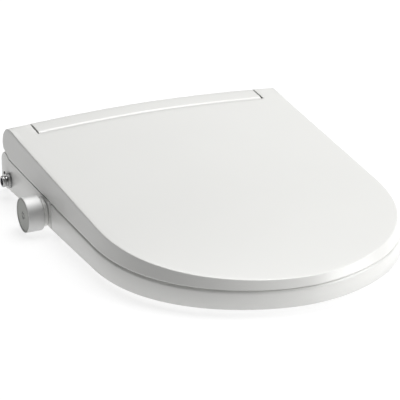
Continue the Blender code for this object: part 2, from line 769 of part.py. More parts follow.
def make_inlet(metal, rubber, mesh):
    wall_x = -half_width(INLET_Y)
    flange = wall_x - GAP - 0.0012
    outward = (-1, 0, 0)
    start = (VALVE_LOW[0] - GAP, INLET_Y, INLET_Z)
    body = start[0] - (flange)
    end = start[0] - INLET_END_X
    inner = 0.004
    profile = [
        (0, inner), (0, 0.0074), (body, 0.0074), (body, 0.0098), (body + 0.0030, 0.0098),
        (body + 0.0036, INLET_RADIUS), (end - 0.0008, INLET_RADIUS), (end, INLET_RADIUS - 0.0008),
        (end, INLET_BORE), (end - 0.022, INLET_BORE), (end - 0.022, inner),
    ]
    turned("water_inlet", profile, start, outward, metal, closed=True)
    profile = [(0, 0.0077), (0, 0.0096), (0.0009, 0.0096), (0.0009, 0.0077)]
    turned("inlet_seal", profile, (wall_x - 0.00028, INLET_Y, INLET_Z), outward, rubber, closed=True)
    start = (INLET_END_X + 0.0215, INLET_Y, INLET_Z)
    turned("inlet_filter", [(0, 0.0030), (0, 0.0047), (0.003, 0.0047)], start, outward, mesh, 20)
    start = (-half_width(INLET_SCREW_Y) + 0.0009, INLET_SCREW_Y, INLET_SCREW_Z)
    turned("side_screw", [(0, 0.0025), (0.0010, 0.0025), (0.0016, 0.0018)], start, outward, metal, 16)


def make_water_works(plastic, metal, tube):
    box("solenoid_valve", VALVE_LOW, VALVE_HIGH, plastic, 0.002)
    box("heater_tank", TANK_LOW, TANK_HIGH, plastic, 0.006)
    mid_y = (VALVE_LOW[1] + VALVE_HIGH[1]) / 2
    coil_top = VALVE_HIGH[2] + GAP
    turned("valve_coil", [(0, 0.0075), (0.0085, 0.0075)], (-0.152, mid_y, coil_top), (0, 0, 1), metal, 24)
    route = [(VALVE_HIGH[0] + 0.0010, mid_y, 0.022), (-0.1355, mid_y, 0.022), (-0.130, 0.024, 0.022),
             (-0.125, 0.014, 0.022), (TANK_LOW[0] - 0.0006, 0.014, 0.022)]
    hose("tank_hose", route, 0.0022, tube)
    route = [(TANK_HIGH[0] + 0.0010, 0.000, 0.034), (-0.038, 0.000, 0.034), (-0.030, -0.010, 0.034),
             (-0.018, -0.022, 0.0285), (-0.0112, -0.022, 0.0280)]
    hose("nozzle_hose", route, 0.0020, tube)


# Electrical works


def make_electrics(board, plastic, metal, rubber):
    box("control_board", (0.050, -0.030, 0.0190), (0.145, 0.036, 0.0206), board)
    box("power_module", (0.100, -0.018, 0.0206 + GAP), (0.135, 0.026, 0.0400), plastic, 0.002)
    box("relay", (0.060, 0.002, 0.0206 + GAP), (0.080, 0.016, 0.0340), plastic, 0.001)
    for i, (x, y) in enumerate(((0.055, -0.025), (0.140, -0.025), (0.055, 0.031), (0.1395, 0.0315)), 1):
        height = 0.0190 - GAP - (BASE_Z + WALL + GAP)
        profile = [(0, 0.003), (height, 0.003)]
        turned(f"board_post_{i}", profile, (x, y, BASE_Z + WALL + GAP), (0, 0, 1), plastic, 12)
    start = (GLAND_X, HOUSING_REAR_Y - 0.0075, GLAND_Z)
    gap = 0.0078
    profile = [(0, 0.003), (0, 0.0060), (gap, 0.0060), (gap, 0.0085), (gap + 0.003, 0.0085),
               (gap + 0.006, 0.0060), (gap + 0.006, 0.0035), (gap + 0.004, 0.003)]
    turned("cord_gland", profile, start, (0, 1, 0), rubber, 24, closed=True)


# Knob


def make_knob(aluminium, plastic, steel, cap_finish):
    wall_x = -half_width(KNOB_Y)
    outward = (-1, 0, 0)
    axis_point = (0.0, KNOB_Y, KNOB_Z)
    start = (wall_x - GAP, KNOB_Y, KNOB_Z)
    profile = [(0, 0.0048), (0, COLLAR_RADIUS), (0.0042, COLLAR_RADIUS), (0.0050, COLLAR_RADIUS - 0.0008),
               (0.0050, 0.0048)]
    turned("knob_collar", profile, start, outward, plastic, 32, closed=True)
    rear = start[0] - 0.0050 - GAP * 2
    length = rear - KNOB_FACE_X
    seat_r = 0.0196
    profile = [
        (0, 0.0034), (0, KNOB_RADIUS - 0.0022), (0.0022, KNOB_RADIUS), (length - 0.0008, KNOB_RADIUS),
        (length, KNOB_RADIUS - 0.0008), (length, seat_r), (length - 0.004, seat_r), (length - 0.004, 0.0034),
    ]
    knob_start = (rear, KNOB_Y, KNOB_Z)
    turned("knob_body", profile, knob_start, outward, aluminium, 36, closed=True, origin=axis_point)
    start = (-0.1780, KNOB_Y, KNOB_Z)
    end = -0.1780 - (KNOB_FACE_X + 0.0066)
    profile = [(0, SHAFT_RADIUS), (end, SHAFT_RADIUS)]
    turned("knob_shaft", profile, start, outward, steel, 24, origin=axis_point)
    start = (KNOB_FACE_X + 0.0022, KNOB_Y, KNOB_Z)
    profile = [(0, 0.0193), (0.0014, 0.0193), (0.0018, 0.0189)]
    turned("knob_cap", profile, start, outward, cap_finish, 32, origin=axis_point)
    box("knob_encoder",
        (-0.1775, KNOB_Y - 0.008, KNOB_Z - 0.0095), (-0.1640, KNOB_Y + 0.008, KNOB_Z + 0.0075),
        plastic, 0.001)


def make_release_button(finish):
    origin = (half_width(BUTTON_Y), BUTTON_Y, BUTTON_Z)
    low = (0.1835, BUTTON_Y - 0.0110, BUTTON_Z - 0.0060)
    high = (half_width(BUTTON_Y) + 0.0030, BUTTON_Y + 0.0110, BUTTON_Z + 0.0060)
    return box("release_button", low, high, finish, 0.0015, origin=origin)


# Nozzle


def nozzle_axis():
    """The way the wand comes out: forwards and down."""
    return Vector((0.0, -math.cos(NOZZLE_TILT), -math.sin(NOZZLE_TILT)))


def nozzle_frame():
    """From the wand's own frame, X across, -Y out of the port and Z up from its axis, to the world."""
    return Matrix.Translation(NOZZLE_TIP) @ Matrix.Rotation(NOZZLE_TILT, 4, "X")


def pinion_centre():
    radius = MODULE * PINION_TEETH / 2
    return nozzle_frame() @ Vector((0.0, PINION_S, PITCH_Z + radius + PINION_GAP))


def rack_outline():
    pitch = math.pi * MODULE
    first = PINION_S - 2 * pitch
    base = PITCH_Z - 0.0011
    points = [(first - pitch, base)]
    for i in range(RACK_TEETH):
        middle = first + i * pitch
        points += [(middle - 0.00085, base), (middle - 0.00035, PITCH_Z + 0.0008)]
        points += [(middle + 0.00035, PITCH_Z + 0.0008), (middle + 0.00085, base)]
    last = first + RACK_TEETH * pitch
    return points + [(last, base), (last, -0.0035), (first - pitch, -0.0035)]


def pinion_outline():
    """Teeth about the origin, with a gap facing straight down on to a tooth of the rack."""
    points = []
    for i in range(PINION_TEETH):
        middle = 2 * math.pi * (i + 0.5) / PINION_TEETH - math.pi / 2
        for shift, radius in ((-0.17, 0.0049), (-0.055, 0.0067), (0.055, 0.0067), (0.17, 0.0049)):
            points.append((radius * math.cos(middle + shift), radius * math.sin(middle + shift)))
    return points


def make_nozzle(plastic, wand_finish, steel):
    frame = nozzle_frame()
    axis = nozzle_axis()
    tip_length = 0.012
    profile = [(0.0, 0.0062), (0.0008, 0.0070), (tip_length, 0.0070)]
    turned("nozzle_tip", profile, NOZZLE_TIP, -axis, plastic, 24, origin=NOZZLE_TIP)
    start = NOZZLE_TIP - axis * (tip_length + GAP)
    profile = [(0, WAND_RADIUS), (WAND_LENGTH - tip_length, WAND_RADIUS)]
    turned("nozzle_wand", profile, start, -axis, wand_finish, 24, origin=NOZZLE_TIP)
    prism("nozzle_rack", rack_outline(), *RACK_X, "X", plastic, origin=NOZZLE_TIP, place=frame)
    centre = pinion_centre()
    place = Matrix.Translation(centre) @ Matrix.Rotation(NOZZLE_TILT, 4, "X")
    pinion = prism("nozzle_pinion", pinion_outline(), RACK_X[0], RACK_X[1], "X", plastic, centre, place)
    cut(pinion, turned("pinion_bore", [(0, 0.0018), (0.02, 0.0018)], centre, (1, 0, 0), None, 20))
    profile = [(0, 0.0015), (0.0072, 0.0015), (0.0072, 0.0074), (0.0250, 0.0074)]
    start = centre + Vector((0.0045, 0, 0))
    turned("nozzle_motor", profile, start, (1, 0, 0), steel, 24)
    low, high = (-0.0105, 0.014, -0.0090), (0.0062, 0.110, -0.0002)
    cradle = box("nozzle_cradle", low, high, plastic, place=frame)
    groove_start = NOZZLE_TIP + axis * 0.01
    groove = turned("cradle_groove", [(0, 0.0063), (0.14, 0.0063)], groove_start, -axis, None, 32)
    cut(cradle, groove)


def main():
    clear_scene()
    shell = material("white_gloss_plastic", (0.86, 0.86, 0.85), 0.22)
    inner = material("white_matte_plastic", (0.72, 0.72, 0.71), 0.5)
    grey = material("grey_plastic", (0.30, 0.31, 0.32), 0.5)
    rubber = material("dark_rubber", (0.05, 0.05, 0.055), 0.8)
    pale_rubber = material("pale_rubber", (0.62, 0.62, 0.60), 0.7)
    steel = material("steel", (0.62, 0.63, 0.64), 0.3, 1.0)
    aluminium = material("brushed_aluminium", (0.70, 0.71, 0.72), 0.32, 1.0)
    cap = material("knob_cap_grey", (0.40, 0.41, 0.39), 0.35, 0.6)
    tube = material("clear_tube", (0.75, 0.76, 0.78), 0.3)
    board = material("board_green", (0.05, 0.22, 0.10), 0.5)
    gauze = material("filter_gauze", (0.45, 0.46, 0.46), 0.5, 0.8)
    hinge = (0.0, HINGE_Y, HINGE_Z)

    make_housing_cover(shell)
    make_housing_base(inner)
    make_hinge_cover(shell)
    make_mounting_plate(grey)
    make_base_pads(rubber)
    make_housing_screws(steel)
    make_hinge_works(steel, grey)
    make_inlet(steel, rubber, gauze)
    make_water_works(inner, steel, tube)
    make_electrics(board, grey, steel, rubber)
    make_knob(aluminium, shell, steel, cap)
    make_release_button(shell)
    make_nozzle(inner, shell, steel)
    make_seat_top(shell, hinge)
    make_seat_bottom(inner, hinge)
    make_seat_heater(grey, hinge)
    make_seat_bumpers(pale_rubber, hinge)
    make_lid(shell, hinge)
    make_lid_bumpers(pale_rubber, hinge)


main()
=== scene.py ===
"""Looks of the electric bidet seat: finely modelled shells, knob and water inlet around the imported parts.

Metres, in the same frame as the parts: the origin on the underside of the mounting plate, +Z up, the nose of
the seat towards -Y, the knob on -X.
"""

import math

import bmesh
import bpy
from mathutils import Matrix, Vector


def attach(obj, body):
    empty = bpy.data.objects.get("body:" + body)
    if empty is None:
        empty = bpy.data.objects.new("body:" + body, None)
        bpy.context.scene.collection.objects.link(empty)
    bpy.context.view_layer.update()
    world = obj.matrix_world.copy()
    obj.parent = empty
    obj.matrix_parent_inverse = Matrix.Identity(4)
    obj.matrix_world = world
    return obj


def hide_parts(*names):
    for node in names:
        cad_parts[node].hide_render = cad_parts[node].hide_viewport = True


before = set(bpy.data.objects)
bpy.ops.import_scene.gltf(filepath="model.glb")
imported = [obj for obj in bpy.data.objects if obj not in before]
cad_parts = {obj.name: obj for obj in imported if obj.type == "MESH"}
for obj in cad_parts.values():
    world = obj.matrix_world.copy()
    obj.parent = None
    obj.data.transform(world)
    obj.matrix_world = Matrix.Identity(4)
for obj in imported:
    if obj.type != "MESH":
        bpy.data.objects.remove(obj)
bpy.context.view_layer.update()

# Plan of the lid and seat: straight sides that widen a little to the rear, and a superelliptic front.
NOSE_Y = -0.429
FRONT_RUN = 0.205
TANGENT_Y = NOSE_Y + FRONT_RUN
REAR_Y = 0.049
MIDDLE_Y = -0.19
HALF_WIDTH = 0.190
REAR_HALF_WIDTH = 0.194
POWER_X = 1.83
POWER_Y = 2.42

# Side view.
BASE_Z = 0.0085
NOSE_GAP_Z = 0.031
NOSE_TOP_Z = 0.0408
TOP_SLOPE = 0.0962
CROWN = 0.008
PARTING = 0.00045
DRAFT = 0.005
WALL = 0.003

# Hinge and the strip that covers it.
HINGE_Y = 0.046
HINGE_Z = 0.0713
BARREL = 0.015
BARREL_LOW = -62
RIM_TURN_Y = 0.033
PIN_BORE = 0.0053
KNUCKLE = 0.0105
ARM_X = (0.1605, 0.1725)
LID_ARM_X = (0.1745, 0.1888)
STRIP_HALF = 0.157
NOTCH_HALF = 0.1592
NOTCH_Y = 0.0175
STRIP_FRONT_Y = 0.019
STRIP_ROUND = 0.006
STRIP_WALL = 0.0025
STRIP_FOOT_Z = 0.0512

# Housing.
HOUSING_FRONT_Y = -0.105
HOUSING_REAR_Y = 0.065
SHOULDER_Y = 0.048
SHOULDER_LOW_Z = 0.030
SHOULDER_RISE = 0.0262
HOUSING_EDGE = 0.0012
CRADLE_GAP = 0.0005
BLOCK_HALF = 0.1545
BLOCK_FRONT_Y = -0.035
BLOCK_REAR_Y = 0.0570

# Seat ring.
OPENING_Y = -0.225
OPENING_HALF_X = 0.112
OPENING_HALF_Y = 0.135
OPENING_POWER = 2.3
OPENING_FACING_REAR = 0.0816
OPENING_FACING_FRONT = 0.205
SEAT_REAR_Y = -0.040
SEAT_REAR_HALF = 0.1795
SEAM_Y = -0.107
SEAM_STEP = 0.001
SEAT_EDGE = 0.0045
SEAT_CORNER = 0.012

# Knob, inlet and the other openings in the housing.
KNOB_Y = -0.082
KNOB_Z = 0.0228
KNOB_FACE_X = -0.219
KNOB_RADIUS = 0.022
FACE_RADIUS = 0.0208
COLLAR_RADIUS = 0.018
KNOB_BORE = 0.0036
KNOB_EDGE = 0.0004
MARK_RING = 0.00355
MARK_DOTS = 12
INLET_Y = 0.034
INLET_Z = 0.0225
INLET_END_X = -0.2045
INLET_ROOT_X = -0.1703
SIDE_SCREW_Y = 0.0525
SIDE_SCREW_Z = 0.026
BUTTON_Y = -0.060
BUTTON_Z = 0.0235
BUTTON_HOLE = (0.0115, 0.0065)  # half length and half height
GLAND_X = 0.130
GLAND_Z = 0.030
GLAND_HOLE = 0.0064
NOZZLE_TIP = (0.0, -0.083, 0.0205)
NOZZLE_TILT = math.radians(16)
NOZZLE_PORT = 0.0088
CUT_PAST = 0.004  # how far a cutter runs past the wall that it opens

# Camera: where it stands and the way it looks, both as the photograph has them.
CAMERA_PLACE = (-0.966, -2.191, 0.9545)
CAMERA_RIGHT = (0.9056, -0.4242, 0.0)
CAMERA_UP = (0.1612, 0.3441, 0.9250)
LENS = 178.2
SHIFT = (-0.0045, 0.0060)


# The forms that several pieces share


def smooth_step(value):
    value = min(max(value, 0.0), 1.0)
    return value * value * (3 - 2 * value)


def between(value, stops):
    """A value read off a line through (place, value) stops."""
    for (a, low), (b, high) in zip(stops, stops[1:]):
        if value <= b:
            return low + (high - low) * (value - a) / (b - a)
    return stops[-1][1]


def half_width(y):
    along = min(max(0.0, y - TANGENT_Y) / (REAR_Y - TANGENT_Y), 1.1)
    return HALF_WIDTH + (REAR_HALF_WIDTH - HALF_WIDTH) * along


def gap_z(y):
    """Height of the parting line under the lid's rim."""
    run = y - NOSE_Y
    return NOSE_GAP_Z + 0.0278 * run + 0.0316 * run ** 2


def lid_edge_z(y):
    return NOSE_TOP_Z + TOP_SLOPE * (y - NOSE_Y)


def lid_top_z(x, y):
    """The lid's crowned top: full height on the centre line, none at the edge."""
    across = (abs(x) / (half_width(y) - DRAFT)) ** POWER_X
    ahead = (max(0.0, TANGENT_Y - y) / (FRONT_RUN - DRAFT)) ** POWER_Y
    return lid_edge_z(y) + CROWN * max(0.0, 1 - across - ahead)


def front_curve(inset, count):
    """Plan points of the front, from the right tangent round the nose to the left one."""
    points = []
    for i in range(count + 1):
        turn = math.pi * i / count
        x = (HALF_WIDTH - inset) * abs(math.cos(turn)) ** (2 / POWER_X)
        y = TANGENT_Y - (FRONT_RUN - inset) * math.sin(turn) ** (2 / POWER_Y)
        points.append((math.copysign(x, math.cos(turn)), y))
    return points


# Mesh helpers


def to_object(name, bm, finish, sharp=50):
    bmesh.ops.recalc_face_normals(bm, faces=bm.faces)
    mesh = bpy.data.meshes.new(name)
    bm.to_mesh(mesh)
    bm.free()
    mesh.materials.append(finish)
    mesh.shade_smooth()
    mesh.set_sharp_from_angle(angle=math.radians(sharp))
    made = bpy.data.objects.new(name, mesh)
    bpy.context.scene.collection.objects.link(made)
    return made


def skin(loops, closed=False):
    """Faces between one loop of points and the next; open ends are capped."""
    bm = bmesh.new()
    rows = [[bm.verts.new(point) for point in loop] for loop in loops]
    count = len(rows[0])
    pairs = list(zip(rows, rows[1:] + rows[:1])) if closed else list(zip(rows, rows[1:]))
    for low, high in pairs:
        for i in range(count):
            j = (i + 1) % count
            bm.faces.new((low[i], low[j], high[j], high[i]))
    if not closed:
        bm.faces.new(rows[0])
        bm.faces.new(rows[-1])
    return bm


def turned(name, profile, start, direction, finish, segments=96, closed=False, sharp=35):
    """A solid of revolution: the profile holds (distance along the axis, radius)."""
    axis = Vector(direction).normalized()
    side = axis.orthogonal().normalized()
    other = axis.cross(side)
    loops = []
    for along, radius in profile:
        centre = Vector(start) + axis * along
        turns = [2 * math.pi * i / segments for i in range(segments)]
        loops.append([centre + radius * (side * math.cos(t) + other * math.sin(t)) for t in turns])
    return to_object(name, skin(loops, closed), finish, sharp)


def prism(name, outline, low, high, finish):
    """A side-view outline (y, z) extruded along X."""
    loops = [[Vector((level, y, z)) for y, z in outline] for level in (low, high)]
    return to_object(name, skin(loops), finish)


def block(name, low, high, finish):
    outline = [(low[1], low[2]), (high[1], low[2]), (high[1], high[2]), (low[1], high[2])]
    return prism(name, outline, low[0], high[0], finish)


def boolean(target, helper, operation):
    change = target.modifiers.new(helper.name, "BOOLEAN")
    change.operation = operation
    change.object = helper
    change.solver = "EXACT"


def settle(target):
    """Makes the object's modifiers real and removes the helpers that they used."""
    helpers = [m.object for m in target.modifiers if m.type == "BOOLEAN"]
    graph = bpy.context.evaluated_depsgraph_get()
    mesh = bpy.data.meshes.new_from_object(target.evaluated_get(graph))
    target.modifiers.clear()
    target.data = mesh
    for helper in helpers:
        bpy.data.objects.remove(helper)


def soften(target, width, angle=40, segments=2):
    """A small rounding on every edge sharper than the angle."""
    rounding = target.modifiers.new("rounding", "BEVEL")
    rounding.width = width
    rounding.segments = segments
    rounding.limit_method = "ANGLE"
    rounding.angle_limit = math.radians(angle)
    rounding.harden_normals = False
    rounding.use_clamp_overlap = True


# Materials


class Nodes:
    """A material's nodes, with short calls to add and link them."""

    def __init__(self, name, base, roughness, metallic=0.0):
        self.material = bpy.data.materials.new(name)
        self.material.use_nodes = True
        self.tree = self.material.node_tree
        self.shader = self.tree.nodes["Principled BSDF"]
        self.shader.inputs["Metallic"].default_value = metallic
        self.base = base
        self.roughness = roughness
        self.coordinates = self.add("ShaderNodeTexCoord").outputs["Object"]

    def add(self, kind, **values):
        node = self.tree.nodes.new(kind)
        for key, value in values.items():
            setattr(node, key, value)
        return node

    def link(self, source, target):
        self.tree.links.new(source, target)

    def stretched(self, scale):
        mapping = self.add("ShaderNodeMapping")
        mapping.inputs["Scale"].default_value = scale
        self.link(self.coordinates, mapping.inputs["Vector"])
        return mapping.outputs["Vector"]

    def noise(self, scale, detail=3.0, vector=None):
        noise = self.add("ShaderNodeTexNoise")
        noise.inputs["Scale"].default_value = scale
        noise.inputs["Detail"].default_value = detail
        self.link(vector or self.coordinates, noise.inputs["Vector"])
        return noise.outputs["Fac"]

    def spread(self, source, low, high, start=0.3, end=0.7):
        """The source's range from start to end, spread over low to high."""
        spread = self.add("ShaderNodeMapRange")
        spread.inputs["From Min"].default_value = start
        spread.inputs["From Max"].default_value = end
        spread.inputs["To Min"].default_value = low
        spread.inputs["To Max"].default_value = high
        self.link(source, spread.inputs["Value"])
        return spread.outputs["Result"]

    def tint(self, source, change):
        """The base colour, a little darker and lighter with the source."""
        ramp = self.add("ShaderNodeValToRGB")
        stops = ramp.color_ramp.elements
        stops[0].position, stops[1].position = 0.2, 0.8
        stops[0].color = (*[c * (1 - change) for c in self.base], 1)
        stops[1].color = (*[min(c * (1 + change), 1.0) for c in self.base], 1)
        self.link(source, ramp.inputs["Fac"])
        self.link(ramp.outputs["Color"], self.shader.inputs["Base Color"])

    def rough(self, source, change):
        spread = self.spread(source, self.roughness - change, self.roughness + change, 0.0, 1.0)
        self.link(spread, self.shader.inputs["Roughness"])

    def bump(self, source, height):
        bump = self.add("ShaderNodeBump")
        bump.inputs["Distance"].default_value = height
        bump.inputs["Strength"].default_value = 1.0
        self.link(source, bump.inputs["Height"])
        self.link(bump.outputs["Normal"], self.shader.inputs["Normal"])


def moulded(name, base, roughness, grain=1400.0, height=0.0000025, waviness=0.000006, gloss=0.0):
    """Moulded plastic: a faint cloudiness, a fine skin texture and the slow waviness of a large shell."""
    made = Nodes(name, base, roughness)
    cloud = made.noise(9.0, 2.0)
    made.tint(cloud, 0.008)
    made.rough(made.noise(40.0, 2.0), 0.02)
    fine = made.spread(made.noise(grain, 2.0), 0.0, height, 0.0, 1.0)
    slow = made.spread(made.noise(14.0, 1.0), 0.0, waviness, 0.0, 1.0)
    both = made.add("ShaderNodeMath", operation="ADD")
    made.link(fine, both.inputs[0])
    made.link(slow, both.inputs[1])
    made.bump(both.outputs["Value"], 1.0)
    made.shader.inputs["Coat Weight"].default_value = gloss
    made.shader.inputs["Coat Roughness"].default_value = 0.08
    return made.material


def brushed(name, base, roughness, stretch, height=0.000012, worn=0.05):
    """Brushed metal: fine lines across the direction in which the noise is squeezed."""
    made = Nodes(name, base, roughness, 1.0)
    lines = made.noise(1.0, 5.0, made.stretched(stretch))
    made.tint(lines, worn)
    made.rough(lines, 0.09)
    made.bump(made.spread(lines, 0.0, height), 1.0)
    return made.material


def turned_face(name, base, roughness, centre, rings=2600.0, metallic=1.0):
    """A face turned on a lathe about an axis along X: fine rings about the centre."""
    made = Nodes(name, base, roughness, metallic)
    apart = made.add("ShaderNodeVectorMath", operation="SUBTRACT")
    made.link(made.coordinates, apart.inputs[0])
    apart.inputs[1].default_value = centre
    flat = made.add("ShaderNodeVectorMath", operation="MULTIPLY")
    made.link(apart.outputs["Vector"], flat.inputs[0])
    flat.inputs[1].default_value = (0.0, 1.0, 1.0)
    length = made.add("ShaderNodeVectorMath", operation="LENGTH")
    made.link(flat.outputs["Vector"], length.inputs[0])
    noise = made.add("ShaderNodeTexNoise", noise_dimensions="1D")
    noise.inputs["Scale"].default_value = rings
    noise.inputs["Detail"].default_value = 3.0
    made.link(length.outputs["Value"], noise.inputs["W"])
    made.tint(noise.outputs["Fac"], 0.06)
    made.rough(noise.outputs["Fac"], 0.06)
    made.bump(made.spread(noise.outputs["Fac"], 0.0, 0.000012), 1.0)
    return made.material


def rubbery(name, base, roughness):
    made = Nodes(name, base, roughness)
    made.tint(made.noise(140.0, 4.0), 0.10)
    made.rough(made.noise(420.0, 3.0), 0.05)
    made.bump(made.spread(made.noise(1500.0, 3.0), 0.0, 0.00004), 1.0)
    return made.material


def woven(name, base, pitch):
    """A fine wire gauze: two sets of crossing lines."""
    made = Nodes(name, base, 0.45, 0.8)
    sets = []
    for direction in ("Y", "Z"):
        wave = made.add("ShaderNodeTexWave", bands_direction=direction)
        wave.inputs["Scale"].default_value = 1 / pitch
        made.link(made.coordinates, wave.inputs["Vector"])
        sets.append(wave.outputs["Fac"])
    both = made.add("ShaderNodeMath", operation="MAXIMUM")
    made.link(sets[0], both.inputs[0])
    made.link(sets[1], both.inputs[1])
    made.tint(both.outputs["Value"], 0.6)
    made.rough(both.outputs["Value"], 0.05)
    made.bump(both.outputs["Value"], 0.0001)
    return made.material


WHITE = moulded("white_gloss_plastic", (0.745, 0.745, 0.727), 0.33, gloss=0.12)
INNER = moulded("white_matte_plastic", (0.74, 0.74, 0.73), 0.50, grain=700.0, height=0.00004)
GREY = moulded("grey_plastic", (0.30, 0.31, 0.32), 0.48, grain=800.0, height=0.00004)
RUBBER = rubbery("dark_rubber", (0.045, 0.045, 0.05), 0.75)
PALE_RUBBER = rubbery("pale_rubber", (0.62, 0.62, 0.60), 0.65)
STEEL = brushed("turned_steel", (0.60, 0.61, 0.62), 0.28, (2500.0, 60.0, 60.0))
INLET_METAL = brushed("inlet_metal", (0.46, 0.46, 0.46), 0.36, (1800.0, 40.0, 40.0), worn=0.12)
ALUMINIUM = brushed("brushed_aluminium", (0.71, 0.71, 0.705), 0.70, (2600.0, 40.0, 40.0))
CAP = turned_face("knob_cap_grey", (0.225, 0.23, 0.216), 0.38, (0.0, KNOB_Y, KNOB_Z))
MARK = moulded("knob_mark", (0.035, 0.035, 0.035), 0.45)
MARK_DOT = moulded("knob_mark_dot", (0.62, 0.63, 0.62), 0.40)
TUBE = moulded("clear_tube", (0.72, 0.73, 0.75), 0.25)
BOARD = moulded("board_green", (0.05, 0.20, 0.10), 0.45, grain=1500.0)
GAUZE = woven("filter_gauze", (0.45, 0.46, 0.46), 0.0006)
DARK = moulded("bore_shadow", (0.02, 0.02, 0.02), 0.6)


# Lid

ANGLE_TO_SHARE = ((BARREL_LOW, 0.0), (-22, 0.35), (14, 0.70), (42, 0.90), (66, 0.97), (90, 1.0))
EDGE_SHARE = 0.92  # where the wall starts to round over into the top
EDGE_INSET = 0.0012
RIM_SHARE = 0.03
RIM_INSET = 0.0003


def lid_rim_z(y):
    """Bottom of the lid's side wall: the parting line, then a straight rise to the barrel's lower end."""
    if y <= RIM_TURN_Y:
        return gap_z(y) + PARTING
    turn = math.radians(BARREL_LOW)
    end_y = HINGE_Y + BARREL * math.cos(turn)
    end_z = HINGE_Z + BARREL * math.sin(turn)
    start_z = gap_z(RIM_TURN_Y) + PARTING
    return start_z + (end_z - start_z) * (y - RIM_TURN_Y) / (end_y - RIM_TURN_Y)


def lid_levels(count):
    """(share of the wall's height, extra inset, angle on the barrel) from the rim to the top."""
    levels = []
    for i in range(count + 1):
        angle = BARREL_LOW + (90 - BARREL_LOW) * i / count
        share = between(angle, ANGLE_TO_SHARE)
        over = max(0.0, (share - EDGE_SHARE) / (1 - EDGE_SHARE))
        under = max(0.0, 1 - share / RIM_SHARE)
        extra = EDGE_INSET * (1 - math.sqrt(max(0.0, 1 - over ** 2)))
        levels.append((share, extra + RIM_INSET * under, angle))
    return levels


def lid_loop(share, extra, angle, wall, sides, front):
    """One level of the lid's wall, outside for wall 0 and inside for the wall's thickness."""
    radius = BARREL - wall
    turn = math.radians(angle)
    rear_y = HINGE_Y + radius * math.cos(turn)

    def rear_z(x):
        rise = radius if turn < 0 else lid_top_z(x, HINGE_Y) - wall - HINGE_Z
        return HINGE_Z + rise * math.sin(turn)

    def side_point(y, sign):
        low = lid_rim_z(y)
        z = low + share * (lid_edge_z(y) - wall - low)
        if share > 0:
            start = HINGE_Y - 0.036
            z += (rear_z(REAR_HALF_WIDTH - DRAFT) - z) * smooth_step((y - start) / (rear_y - start))
        height = (z - gap_z(y)) / (lid_edge_z(y) - gap_z(y))
        x = half_width(y) - DRAFT * min(max(height, 0.0), 1.0) - extra - wall
        return Vector((sign * x, y, z))

    stations = [rear_y + (TANGENT_Y - rear_y) * (i / sides) ** 1.6 for i in range(sides)]
    right = [side_point(y, 1) for y in stations]
    left = [side_point(y, -1) for y in reversed(stations)]
    curve = []
    for x, y in front_curve(DRAFT * share + extra + wall, front):
        low = gap_z(y) + PARTING
        curve.append(Vector((x, y, low + share * (lid_edge_z(y) - wall - low))))
    corner = left[-1].x
    rear = []
    for i in range(1, 24):
        x = -corner * (1 - i / 12)
        rear.append(Vector((-x, rear_y, rear_z(x))))
    return right + curve + left + rear


def lid_ring(edge, scale, wall):
    centre = Vector((0.0, MIDDLE_Y, 0.0))
    ring = []
    for point in edge:
        moved = centre + (point - centre) * scale
        ring.append(Vector((moved.x, moved.y, lid_top_z(moved.x, moved.y) - wall)))
    return ring


def make_lid():
    sides, front = 26, 112
    outside = [lid_loop(*level, 0.0, sides, front) for level in lid_levels(30)]
    inside = [lid_loop(*level, WALL, sides, front) for level in lid_levels(14)]
    scales = (0.985, 0.955, 0.91, 0.85, 0.77, 0.67, 0.55, 0.42, 0.28, 0.14, 0.04)
    top = [lid_ring(outside[-1], scale, 0.0) for scale in scales]
    under = [lid_ring(inside[-1], scale, WALL) for scale in scales]
    lid = to_object("lid_shell", skin(under[::-1] + inside[::-1] + outside + top), WHITE)
    low, high = (-NOTCH_HALF, NOTCH_Y, 0.03), (NOTCH_HALF, 0.08, 0.12)
    boolean(lid, block("notch_cutter", low, high, WHITE), "DIFFERENCE")
    for side, sign in (("left", -1), ("right", 1)):
        inner, outer = LID_ARM_X
        start = (sign * inner, HINGE_Y, HINGE_Z)
        along = (sign, 0, 0)
        knuckle = [(0, KNUCKLE), (outer - inner, KNUCKLE)]
        boolean(lid, turned(f"lid_knuckle_{side}", knuckle, start, along, WHITE), "UNION")
        bore = [(-CUT_PAST, PIN_BORE), (outer - inner - WALL, PIN_BORE)]
        boolean(lid, turned(f"lid_bore_{side}", bore, start, along, WHITE), "DIFFERENCE")
    settle(lid)
    soften(lid, 0.0004, 55)
    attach(lid, "lid")
    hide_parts("lid")


# Strip over the hinge


def make_strip():
    """The strip between the lid's ears: crowned like the lid, round in front and behind."""
    def section(x):
        outer, inner = [], []
        for shrink, found in ((0.0, outer), (STRIP_WALL, inner)):
            round_y = STRIP_FRONT_Y + STRIP_ROUND
            reach = STRIP_ROUND - shrink
            round_z = lid_top_z(x, round_y) - STRIP_ROUND
            found.append((STRIP_FRONT_Y + shrink, lid_top_z(x, round_y) - 0.0105))
            for i in range(13):
                turn = math.radians(180 - 85 * i / 12)
                found.append((round_y + reach * math.cos(turn), round_z + reach * math.sin(turn)))
            for y in (0.028, 0.032, 0.036):
                found.append((y, lid_top_z(x, y) - shrink))
            rise = lid_top_z(x, HINGE_Y) - shrink - HINGE_Z
            for i in range(19):
                turn = math.radians(90 - 5 * i)
                found.append((HINGE_Y + (BARREL - shrink) * math.cos(turn), HINGE_Z + rise * math.sin(turn)))
            found.append((HINGE_Y + BARREL - shrink, STRIP_FOOT_Z))
        return [Vector((x, y, z)) for y, z in outer + inner[::-1]]

    count = 48
    stations = [STRIP_HALF * (2 * i / count - 1) for i in range(count + 1)]
    strip = to_object("strip_shell", skin([section(x) for x in stations]), WHITE)
    soften(strip, 0.0005, 60)
    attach(strip, "root")
    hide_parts("hinge_cover")


# Housing


